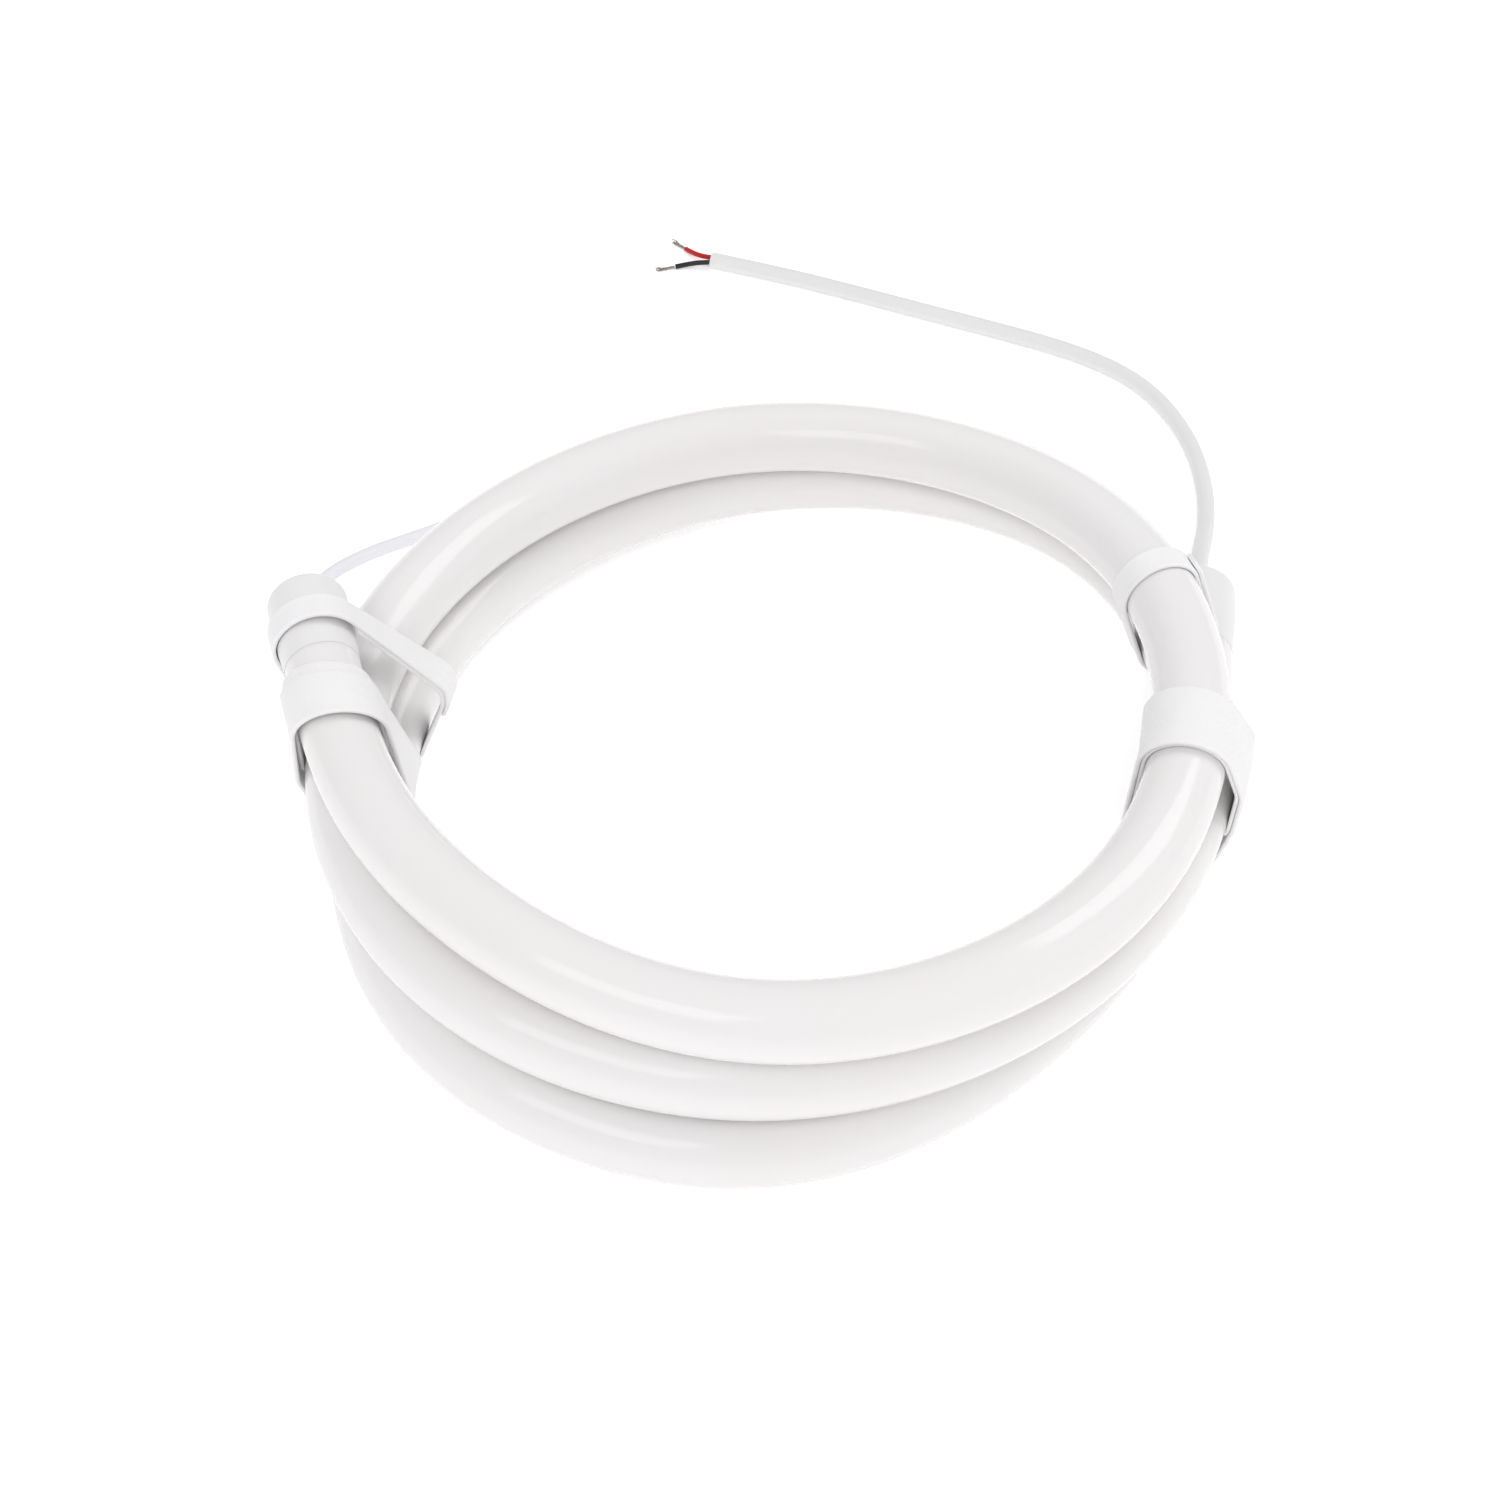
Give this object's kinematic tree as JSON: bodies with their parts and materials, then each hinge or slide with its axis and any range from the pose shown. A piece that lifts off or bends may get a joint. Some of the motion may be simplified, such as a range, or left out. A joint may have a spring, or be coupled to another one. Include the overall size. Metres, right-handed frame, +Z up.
{
  "type": "led neon flex",
  "caption": "Round milky silicone light tube in a loose tied coil, with end caps and bare-ended leads.",
  "frame": {"origin": "centre of the coil's footprint on the floor it lies on, measured without the leads", "axes": "+Z up from the floor through the coil, +X towards the side with the lower end cap, -Y towards the viewer"},
  "size_m": [0.2973, 0.4243, 0.0728],
  "materials": {
    "neon_tube": "milky satin silicone",
    "end_cap_left": "matte silicone",
    "end_cap_right": "matte silicone",
    "power_lead": "satin silicone jacket",
    "power_red_core": "satin",
    "power_black_core": "satin",
    "power_red_strands": "tinned copper",
    "power_black_strands": "tinned copper",
    "link_lead": "satin silicone jacket",
    "link_red_core": "satin",
    "link_black_core": "satin",
    "link_red_strands": "tinned copper",
    "link_black_strands": "tinned copper",
    "strap_left_upper": "fine woven hook-and-loop",
    "strap_left_lower": "fine woven hook-and-loop",
    "strap_right_upper": "fine woven hook-and-loop",
    "strap_right_lower": "fine woven hook-and-loop"
  },
  "bodies": {
    "root": {"neon_tube": "neon_tube", "end_cap_left": "end_cap_left", "end_cap_right": "end_cap_right", "power_lead": "power_lead", "power_red_core": "power_red_core", "power_black_core": "power_black_core", "power_red_strands": "power_red_strands", "power_black_strands": "power_black_strands", "link_lead": "link_lead", "link_red_core": "link_red_core", "link_black_core": "link_black_core", "link_red_strands": "link_red_strands", "link_black_strands": "link_black_strands", "strap_left_upper": "strap_left_upper", "strap_left_lower": "strap_left_lower", "strap_right_upper": "strap_right_upper", "strap_right_lower": "strap_right_lower"}
  },
  "joints": []
}
